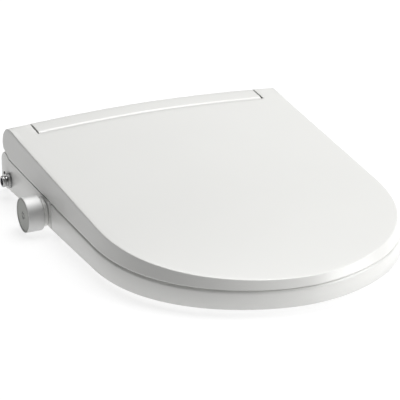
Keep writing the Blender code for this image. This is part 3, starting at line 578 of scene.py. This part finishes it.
def housing_top_z(y):
    """Top of the housing's sides: under the lid's rim as far as the barrel, then a rounded shoulder."""
    if y <= RIM_TURN_Y:
        return gap_z(y) - PARTING
    level = lid_rim_z(y) - CRADLE_GAP
    if y > SHOULDER_Y:
        share = min((y - SHOULDER_Y) / (HOUSING_REAR_Y - SHOULDER_Y), 1.0)
        level = min(level, SHOULDER_LOW_Z + SHOULDER_RISE * math.sqrt(1 - share ** 2))
    return level


def housing_half(y):
    """Half width, with the rear corners rounded in plan."""
    corner = 0.004
    start = HOUSING_REAR_Y - corner
    reach = min(max(0.0, y - start) / corner, 1.0)
    return half_width(y) - corner * (1 - math.sqrt(1 - reach ** 2))


def housing_blank(name, inset, low_z, radius):
    """Sections along the length, each with rounded upper corners."""
    stations = [HOUSING_FRONT_Y + 0.006 * i for i in range(22)]
    stations += [0.0265, RIM_TURN_Y - 0.0005, RIM_TURN_Y + 0.0006, 0.0380, 0.0430, 0.0475]
    stations += [HOUSING_REAR_Y - 0.0155 * math.cos(math.radians(turn)) for turn in range(0, 90, 4)]
    stations.append(HOUSING_REAR_Y)
    loops = []
    for y in stations:
        place = min(max(y, HOUSING_FRONT_Y + inset), HOUSING_REAR_Y - inset)
        if loops and place - loops[-1][0].y < 0.00005:
            continue
        half = housing_half(y) - inset
        high = housing_top_z(y) - inset
        foot = min(0.0006, radius)
        corner = [(half - foot, low_z), (half, low_z + foot)]
        for i in range(9):
            turn = math.radians(90 * i / 8)
            corner.append((half - radius * (1 - math.cos(turn)), high - radius * (1 - math.sin(turn))))
        section = corner + [(-x, z) for x, z in reversed(corner)]
        loops.append([Vector((x, place, z)) for x, z in section])
    return to_object(name, skin(loops), WHITE)


def bay_cutter(name, grow):
    """The bay between the housing's two arms, in which the bowl's opening lies."""
    outline = [(-0.130 - grow, HOUSING_FRONT_Y - 0.02), (0.130 + grow, HOUSING_FRONT_Y - 0.02)]
    for sign in (1, -1):
        curve = []
        for step in range(25):
            turn = math.radians(90 * step / 24)
            x = 0.065 + (0.065 + grow) * math.cos(turn)
            y = HOUSING_FRONT_Y + (0.027 + grow) * math.sin(turn)
            curve.append((sign * x, y))
        outline += curve if sign == 1 else curve[::-1]
    return to_object(name, skin([[Vector((x, y, z)) for x, y in outline] for z in (-0.01, 0.10)]), WHITE)


def raised_middle(name, inset, low_z):
    """The raised middle of the housing, between the lid's ears; its rear part fills the strip."""
    foot = 0.0225 + inset
    heights = [(BLOCK_FRONT_Y + inset, lid_edge_z(BLOCK_FRONT_Y) - 0.0125)]
    heights.append((BLOCK_FRONT_Y + inset + 0.0012, lid_edge_z(BLOCK_FRONT_Y) - 0.0112))
    heights.append((BLOCK_FRONT_Y + inset + 0.004, lid_edge_z(BLOCK_FRONT_Y) - 0.0098))
    heights.append((foot - 0.0004, lid_edge_z(0.020) - 0.0095))
    heights += [(foot, 0.0815), (0.033, 0.0838), (0.046, 0.0838), (0.052, 0.0815)]
    heights.append((BLOCK_REAR_Y - inset, 0.0745))
    half = BLOCK_HALF - inset
    loops = []
    for y, high in heights:
        top = high - inset
        corner = [(half, low_z)]
        for i in range(7):
            turn = math.radians(90 * i / 6)
            corner.append((half - 0.003 * (1 - math.cos(turn)), top - 0.003 * (1 - math.sin(turn))))
        section = corner + [(-x, z) for x, z in reversed(corner)]
        loops.append([Vector((x, y, z)) for x, z in section])
    return to_object(name, skin(loops), WHITE)


def make_housing():
    cover = housing_blank("housing_shell", 0.0, BASE_Z, HOUSING_EDGE)
    boolean(cover, bay_cutter("bay_cutter", 0.0), "DIFFERENCE")
    boolean(cover, raised_middle("middle", 0.0, 0.035), "UNION")
    cavity = housing_blank("housing_cavity", WALL, 0.0, 0.0005)
    boolean(cavity, bay_cutter("bay_wall_cutter", WALL), "DIFFERENCE")
    settle(cavity)
    boolean(cover, cavity, "DIFFERENCE")
    boolean(cover, raised_middle("middle_cavity", WALL, 0.030), "DIFFERENCE")
    for side, sign in (("left", -1), ("right", 1)):
        start = (sign * (BLOCK_HALF - WALL - 0.002), HINGE_Y, HINGE_Z)
        bore = [(0, PIN_BORE), (WALL + CUT_PAST, PIN_BORE)]
        boolean(cover, turned(f"pin_hole_{side}", bore, start, (sign, 0, 0), WHITE), "DIFFERENCE")
    for name, y, z, radius, out, depth in (
        ("knob_hole", KNOB_Y, KNOB_Z, 0.0045, 0.002, 0.010),
        ("inlet_hole", INLET_Y, INLET_Z, 0.0084, 0.002, 0.010),
        ("side_screw_hole", SIDE_SCREW_Y, SIDE_SCREW_Z, 0.0029, 0.001, 0.0022),
    ):
        start = (-half_width(y) - out, y, z)
        boolean(cover, turned(name, [(0, radius), (depth, radius)], start, (1, 0, 0), WHITE), "DIFFERENCE")
    low = (0.180, BUTTON_Y - BUTTON_HOLE[0], BUTTON_Z - BUTTON_HOLE[1])
    high = (0.200, BUTTON_Y + BUTTON_HOLE[0], BUTTON_Z + BUTTON_HOLE[1])
    boolean(cover, block("button_hole", low, high, WHITE), "DIFFERENCE")
    start = (GLAND_X, HOUSING_REAR_Y + 0.002, GLAND_Z)
    hole = [(0, GLAND_HOLE), (0.010, GLAND_HOLE)]
    boolean(cover, turned("gland_hole", hole, start, (0, -1, 0), WHITE), "DIFFERENCE")
    axis = Vector((0.0, -math.cos(NOZZLE_TILT), -math.sin(NOZZLE_TILT)))
    port = Vector(NOZZLE_TIP) - axis * 0.004
    hole = [(-0.012, NOZZLE_PORT), (0.012, NOZZLE_PORT)]
    boolean(cover, turned("nozzle_port", hole, port, axis, WHITE), "DIFFERENCE")
    settle(cover)
    soften(cover, 0.0004, 60)
    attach(cover, "root")
    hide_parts("housing_cover")


# Seat ring


def seat_outline():
    """Plan points of the seat's outer edge; behind the seam it is narrower, to fit inside the lid."""
    half = SEAT_REAR_HALF
    centre_x, centre_y = half - SEAT_CORNER, SEAT_REAR_Y - SEAT_CORNER
    corner = []
    for i in range(7):
        turn = math.radians(90 - 15 * i)
        corner.append((centre_x + SEAT_CORNER * math.cos(turn), centre_y + SEAT_CORNER * math.sin(turn)))
    stations = [-0.060, -0.070, -0.080, -0.090, -0.100, SEAM_Y + SEAM_STEP, SEAM_Y]
    stations += [SEAM_Y - 0.0008, -0.110, -0.114, -0.119, -0.126, -0.135]
    stations += [-0.150 - 0.015 * i for i in range(5)]
    sides = corner + [(half if y > SEAM_Y else half_width(y), y) for y in stations]
    rear = [(-centre_x * (1 - i / 12), SEAT_REAR_Y) for i in range(1, 24)]
    left = [(-x, y) for x, y in reversed(sides)]
    return sides + front_curve(0.0, 112) + left + rear


def opening_point(x, y):
    """The point of the opening's edge that faces a point of the outer edge."""
    depth = OPENING_FACING_REAR if y > OPENING_Y else OPENING_FACING_FRONT
    turn = math.atan2((y - OPENING_Y) / depth, x / HALF_WIDTH)
    across = abs(math.cos(turn)) ** (2 / OPENING_POWER)
    along = abs(math.sin(turn)) ** (2 / OPENING_POWER)
    place_x = math.copysign(OPENING_HALF_X * across, math.cos(turn))
    return Vector((place_x, OPENING_Y + math.copysign(OPENING_HALF_Y * along, math.sin(turn))))


def seat_crest_z(y):
    return gap_z(y) + 0.004 + 0.006 * smooth_step((y + 0.185) / 0.060)


def seat_edge_z(y, behind):
    return seat_crest_z(y) - 0.002 if behind else gap_z(y) - PARTING


def seat_skirt_z(y, behind):
    return gap_z(y) + 0.002 if behind else 0.008


def seat_loop(offset, from_inside, height):
    points = []
    for x, y in seat_outline():
        behind = y > SEAM_Y + SEAM_STEP / 2
        outer = Vector((x, y))
        inner = opening_point(x, y)
        along = (inner - outer).normalized()
        place = inner - along * offset if from_inside else outer + along * offset
        points.append(Vector((place.x, place.y, height(place.y, behind))))
    return points


def make_seat():
    def crest(drop):
        return lambda y, behind: seat_crest_z(y) - drop

    def edge(drop, least=0.0010):
        return lambda y, behind: max(seat_edge_z(y, behind) - drop, seat_skirt_z(y, behind) + least)

    def skirt(rise):
        return lambda y, behind: seat_skirt_z(y, behind) + rise

    def towards_crest(share):
        return lambda y, behind: seat_edge_z(y, behind) + share * (seat_crest_z(y) - seat_edge_z(y, behind))

    loops = [seat_loop(0.0008, False, skirt(0.0)), seat_loop(0.0, False, skirt(0.0008))]
    for i in range(9):
        turn = math.radians(90 * i / 8)
        inset = SEAT_EDGE * (1 - math.cos(turn))
        loops.append(seat_loop(inset, False, edge(SEAT_EDGE * (1 - math.sin(turn)), 0.0010)))
    for inset, share in ((0.0075, 0.42), (0.0105, 0.74), (0.0135, 0.93), (0.017, 1.0)):
        loops.append(seat_loop(inset, False, towards_crest(share)))
    for inset, drop in (
        (0.026, 0.0002), (0.020, 0.0006), (0.014, 0.0012), (0.009, 0.0020), (0.0055, 0.0030),
        (0.0028, 0.0044), (0.0010, 0.0062), (0.0, 0.0085),
    ):
        loops.append(seat_loop(inset, True, crest(drop)))
    loops += [
        seat_loop(0.0, True, skirt(0.0010)), seat_loop(0.0008, True, skirt(0.0)),
        seat_loop(WALL, True, skirt(0.0)),
        seat_loop(WALL, True, crest(0.0095)), seat_loop(0.009, True, crest(0.0060)),
        seat_loop(0.020, True, crest(0.0038)), seat_loop(0.018, False, crest(WALL + 0.0002)),
        seat_loop(0.0075, False, edge(WALL, 0.0012)), seat_loop(WALL, False, edge(0.0058, 0.0008)),
        seat_loop(WALL, False, skirt(0.0)),
    ]
    seat = to_object("seat_shell", skin(loops, True), WHITE)
    for side, sign in (("left", -1), ("right", 1)):
        low, high = sorted(sign * x for x in ARM_X)
        root_y = SEAT_REAR_Y - 0.022
        outline = [
            (root_y, gap_z(root_y) + 0.0062), (SEAT_REAR_Y - 0.0005, gap_z(SEAT_REAR_Y) + 0.0058),
            (SEAT_REAR_Y + 0.006, gap_z(SEAT_REAR_Y) + 0.0050), (HINGE_Y - 0.015, HINGE_Z - 0.0038),
        ]
        for step in range(49):
            turn = math.radians(-170 + 290 * step / 48)
            outline.append((HINGE_Y + KNUCKLE * math.cos(turn), HINGE_Z + KNUCKLE * math.sin(turn)))
        outline.append((root_y, seat_crest_z(root_y) - 0.0008))
        boolean(seat, prism(f"seat_arm_{side}", outline, low, high, WHITE), "UNION")
        start = (low - 0.002, HINGE_Y, HINGE_Z)
        bore = [(0, PIN_BORE), (high - low + 0.004, PIN_BORE)]
        boolean(seat, turned(f"seat_bore_{side}", bore, start, (1, 0, 0), WHITE), "DIFFERENCE")
    settle(seat)
    soften(seat, 0.0004, 60)
    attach(seat, "seat")
    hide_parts("seat_ring_top")


# Knob


def make_knob():
    """A collar, a turned aluminium body with a softened inner end, and a cap with a plain ring mark."""
    wall_x = -half_width(KNOB_Y)
    outward = (-1, 0, 0)
    collar_start = (wall_x - 0.0003, KNOB_Y, KNOB_Z)
    collar = [(0, 0.0048), (0, COLLAR_RADIUS - 0.0002), (0.0002, COLLAR_RADIUS)]
    for i in range(7):
        turn = math.radians(15 * i)
        collar.append((0.0040 + 0.0009 * math.sin(turn), COLLAR_RADIUS - 0.0009 * (1 - math.cos(turn))))
    collar.append((0.0049, 0.0048))
    ring = turned("knob_collar_ring", collar, collar_start, outward, WHITE, closed=True)
    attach(ring, "root")
    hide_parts("knob_collar")

    rear = collar_start[0] - 0.0053
    length = rear - KNOB_FACE_X
    body = [(0, KNOB_BORE), (0, KNOB_RADIUS - 0.0013), (0.0003, KNOB_RADIUS - 0.0010)]
    body += [(0.0013, KNOB_RADIUS - 0.0002), (0.0016, KNOB_RADIUS - 0.00005), (0.0020, KNOB_RADIUS)]
    for i in range(12):
        body.append((0.0040 + (length - 0.0048) * i / 11, KNOB_RADIUS))
    for i in range(1, 7):
        turn = math.radians(15 * i)
        drop = KNOB_EDGE * (1 - math.cos(turn))
        body.append((length - KNOB_EDGE + KNOB_EDGE * math.sin(turn), KNOB_RADIUS - drop))
    body += [(length, FACE_RADIUS + 0.0004), (length - 0.0003, FACE_RADIUS + 0.0003)]
    body += [(length - 0.0035, FACE_RADIUS + 0.0003), (length - 0.0035, KNOB_BORE)]
    barrel = turned("knob_barrel", body, (rear, KNOB_Y, KNOB_Z), outward, ALUMINIUM, 160, closed=True)
    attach(barrel, "knob")
    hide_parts("knob_body")

    cap_start = (KNOB_FACE_X + 0.0022, KNOB_Y, KNOB_Z)
    cap = [(0, 0.0030), (0, FACE_RADIUS), (0.0015, FACE_RADIUS), (0.0018, FACE_RADIUS - 0.0003)]
    cap += [(0.0018, FACE_RADIUS - 0.0012), (0.0016, FACE_RADIUS - 0.0014), (0.0016, FACE_RADIUS - 0.0017)]
    cap += [(0.0018, FACE_RADIUS - 0.0019), (0.0018, 0.0048), (0.0014, 0.0045), (0.0014, 0.0026)]
    cap += [(0.0018, 0.0023), (0.0018, 0.0006)]
    face = turned("knob_face", cap, cap_start, outward, CAP, 160)
    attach(face, "knob_button")
    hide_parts("knob_cap")

    mark_x = cap_start[0] - 0.00142
    groove = turned(
        "knob_mark_ring", [(0, 0.0027), (0, 0.0044), (0.0001, 0.0044), (0.0001, 0.0027)],
        (mark_x, KNOB_Y, KNOB_Z), outward, MARK, closed=True,
    )
    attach(groove, "knob_button")
    profile = [(0, 0.00045), (0.00022, 0.00045), (0.0003, 0.00035)]
    for i in range(MARK_DOTS):
        turn = 2 * math.pi * i / MARK_DOTS
        place = (mark_x, KNOB_Y + MARK_RING * math.cos(turn), KNOB_Z + MARK_RING * math.sin(turn))
        dot = turned(f"knob_mark_dot_{i + 1}", profile, place, outward, MARK_DOT, 20)
        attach(dot, "knob_button")


# Water inlet


def make_inlet():
    """A turned metal connector: flange, waist, raised bead and a rounded open end."""
    outward = (-1, 0, 0)
    flange = INLET_ROOT_X + half_width(INLET_Y) + 0.0015
    end = INLET_ROOT_X - INLET_END_X
    profile = [(0, 0.0040), (0, 0.0074), (flange, 0.0074), (flange, 0.0096), (flange + 0.0002, 0.0098)]
    profile += [(flange + 0.0026, 0.0098), (flange + 0.0030, 0.0094), (flange + 0.0034, 0.0068)]
    profile += [(flange + 0.0046, 0.0066), (flange + 0.0052, 0.0072), (end - 0.0024, 0.0075)]
    for i in range(7):
        turn = math.radians(15 * i)
        profile.append((end - 0.0008 + 0.0008 * math.sin(turn), 0.0075 - 0.0008 * (1 - math.cos(turn))))
    profile += [(end, 0.0053), (end - 0.0003, 0.0050), (end - 0.022, 0.0050), (end - 0.022, 0.0040)]
    pipe = turned("inlet_pipe", profile, (INLET_ROOT_X, INLET_Y, INLET_Z), outward, INLET_METAL, closed=True)
    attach(pipe, "root")
    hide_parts("water_inlet")


# Finishes of the parts that stay as they are

NODES_BY_FINISH = (
    (WHITE, (
        "housing_cover", "hinge_cover", "knob_collar", "release_button", "nozzle_wand",
        "seat_ring_top", "lid",
    )),
    (INNER, (
        "housing_base", "solenoid_valve", "heater_tank", "knob_encoder", "nozzle_tip",
        "nozzle_rack", "nozzle_pinion", "nozzle_cradle", "seat_ring_bottom",
    )),
    (GREY, (
        "mounting_plate", "lid_damper", "seat_damper", "inlet_seal", "power_module", "relay",
        "board_post_1", "board_post_2", "board_post_3", "board_post_4", "seat_heater",
    )),
    (RUBBER, ("base_pad_left", "base_pad_right", "cord_gland",)),
    (STEEL, (
        "housing_screw_1", "housing_screw_2", "housing_screw_3", "housing_screw_4",
        "hinge_pin_left", "hinge_pin_right", "valve_coil", "knob_shaft", "nozzle_motor",
    )),
    (INLET_METAL, ("water_inlet",)),
    (GAUZE, ("inlet_filter",)),
    (DARK, ("side_screw",)),
    (TUBE, ("tank_hose", "nozzle_hose",)),
    (BOARD, ("control_board",)),
    (ALUMINIUM, ("knob_body",)),
    (CAP, ("knob_cap",)),
    (PALE_RUBBER, (
        "seat_bumper_front_left", "seat_bumper_front_right", "seat_bumper_rear_left",
        "seat_bumper_rear_right", "lid_bumper_left", "lid_bumper_right",
    )),
)


def finish_nodes():
    for finish, names in NODES_BY_FINISH:
        for name in names:
            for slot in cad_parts[name].material_slots:
                slot.material = finish


# Stage, camera and light


def make_stage():
    floor_finish = Nodes("pale_floor", (0.28, 0.28, 0.28), 0.9)
    floor_finish.tint(floor_finish.noise(3.0), 0.005)
    floor_finish.shader.inputs["Roughness"].default_value = 0.9
    floor_finish.shader.inputs["Emission Color"].default_value = (1.0, 1.0, 1.0, 1.0)
    floor_finish.shader.inputs["Emission Strength"].default_value = 0.75
    bm = bmesh.new()
    bmesh.ops.create_grid(bm, x_segments=1, y_segments=1, size=12.0)
    floor = to_object("floor", bm, floor_finish.material)

    scene = bpy.context.scene
    world = bpy.data.worlds.new("studio")
    world.use_nodes = True
    background = world.node_tree.nodes["Background"]
    background.inputs["Color"].default_value = (1.0, 1.0, 1.0, 1.0)
    background.inputs["Strength"].default_value = 0.02
    scene.world = world

    for name, place, size, power in (
        ("key", (3.2, -2.2, 1.9), 2.8, 160.0),
        ("top", (0.5, 0.55, 3.0), 2.3, 94.0),
    ):
        light = bpy.data.lights.new(name, "AREA")
        light.shape = "SQUARE"
        light.size = size
        light.energy = power
        lamp = bpy.data.objects.new(name, light)
        lamp.location = place
        aim = Vector((0.0, MIDDLE_Y, 0.04)) - Vector(place)
        lamp.rotation_euler = aim.to_track_quat("-Z", "Y").to_euler()
        scene.collection.objects.link(lamp)

    right, up = Vector(CAMERA_RIGHT).normalized(), Vector(CAMERA_UP).normalized()
    back = right.cross(up)
    camera_data = bpy.data.cameras.new("camera")
    camera_data.lens = LENS
    camera_data.sensor_width = 36.0
    camera_data.shift_x, camera_data.shift_y = SHIFT
    camera_data.clip_end = 60.0
    camera = bpy.data.objects.new("camera", camera_data)
    turn = Matrix((right, up, back)).transposed().to_4x4()
    camera.matrix_world = Matrix.Translation(CAMERA_PLACE) @ turn
    scene.collection.objects.link(camera)
    scene.camera = camera
    scene.view_settings.view_transform = "Standard"
    scene.view_settings.look = "None"


finish_nodes()
make_lid()
make_strip()
make_housing()
make_seat()
make_knob()
make_inlet()
make_stage()
